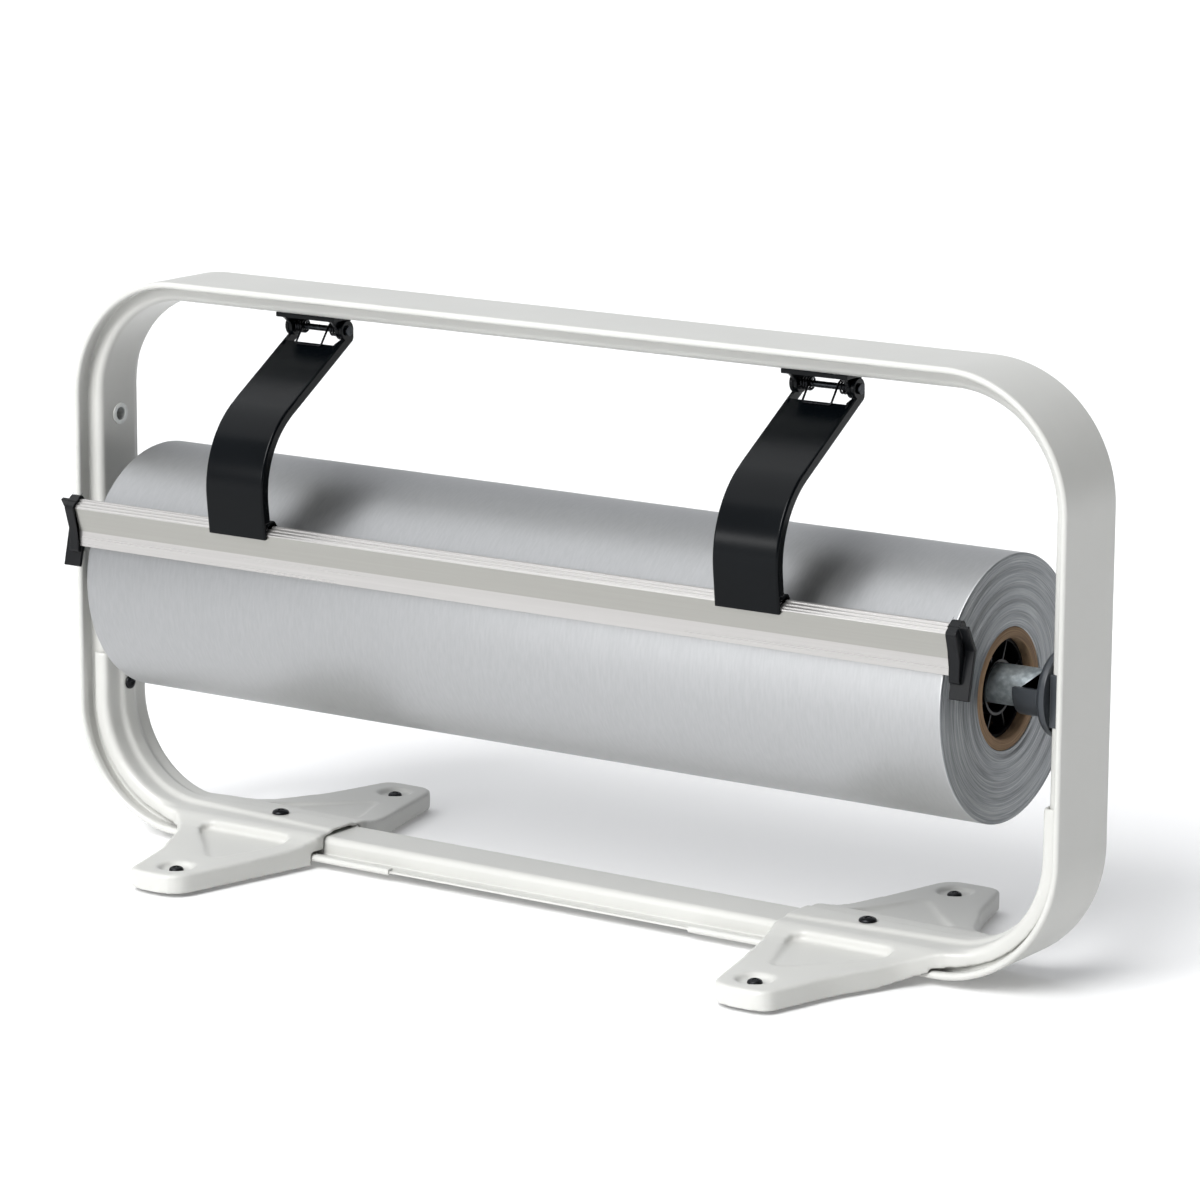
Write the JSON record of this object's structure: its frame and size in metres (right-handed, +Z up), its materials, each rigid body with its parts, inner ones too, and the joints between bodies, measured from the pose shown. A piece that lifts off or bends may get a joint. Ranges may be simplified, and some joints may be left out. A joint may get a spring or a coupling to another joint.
{
  "type": "paper roll dispenser",
  "caption": "Counter roll dispenser: bent white steel frame on two pressed feet, foil roll on a tube in open cradles, sprung tear-off bar on black arms",
  "frame": {"origin": "on the counter under the middle of the frame", "axes": "X along the roll, Y from the front with the tear bar to the back, Z up"},
  "size_m": [0.583, 0.22, 0.2937],
  "materials": {
    "powder_coated_steel": "warm white powder coat, semi-gloss",
    "black_plastic": "satin black moulded plastic",
    "black_gloss": "semi-gloss black paint",
    "black_steel": "black-coated steel screws",
    "zinc_steel": "zinc-plated steel",
    "spring_steel": "blackened spring wire",
    "anodised_aluminium": "satin anodised extrusion",
    "foil": "wound aluminium foil, satin",
    "cardboard": "spiral-wound brown cardboard",
    "rubber": "moulded black rubber"
  },
  "bodies": {
    "stand": {"outer_band": "powder_coated_steel", "inner_channel": "powder_coated_steel", "base_rail": "powder_coated_steel", "left_foot": "powder_coated_steel", "right_foot": "powder_coated_steel", "toe_screws": "black_steel", "centre_screws": "black_steel", "tongue_screws": "black_steel", "rubber_feet": "rubber", "clinch_nuts": "zinc_steel", "left_side_insert": "zinc_steel", "right_side_insert": "zinc_steel", "left_bearing_holder": "black_plastic", "right_bearing_holder": "black_plastic", "left_hinge_bracket": "black_gloss", "right_hinge_bracket": "black_gloss", "left_hinge_pin": "black_steel", "right_hinge_pin": "black_steel", "left_torsion_spring": "spring_steel", "right_torsion_spring": "spring_steel", "bracket_screws": "zinc_steel"},
    "tube": {"roll_shaft": "zinc_steel"},
    "roll": {"left_core_hub": "black_plastic", "right_core_hub": "black_plastic", "paper_core": "cardboard", "foil_roll": "foil"},
    "tear_arms": {"tear_bar": "anodised_aluminium", "left_end_cap": "black_plastic", "right_end_cap": "black_plastic", "left_arm": "black_gloss", "right_arm": "black_gloss"}
  },
  "joints": [
    {"name": "roll_spin", "type": "hinge", "parent": "stand", "child": "roll", "pos_m": [0, 0, 0.1422], "axis": [1, 0, 0], "continuous": true},
    {"name": "tube_spin", "type": "hinge", "parent": "stand", "child": "tube", "pos_m": [0, 0, 0.1443], "axis": [1, 0, 0], "continuous": true},
    {"name": "arm_swing", "type": "hinge", "parent": "stand", "child": "tear_arms", "pos_m": [0, 0, 0.27474], "axis": [-1, 0, 0], "range_deg": [0, 55], "stiffness_Nm_per_rad": 0.6, "springref_deg": -34.38, "deforming": ["left_torsion_spring", "right_torsion_spring"]}
  ]
}
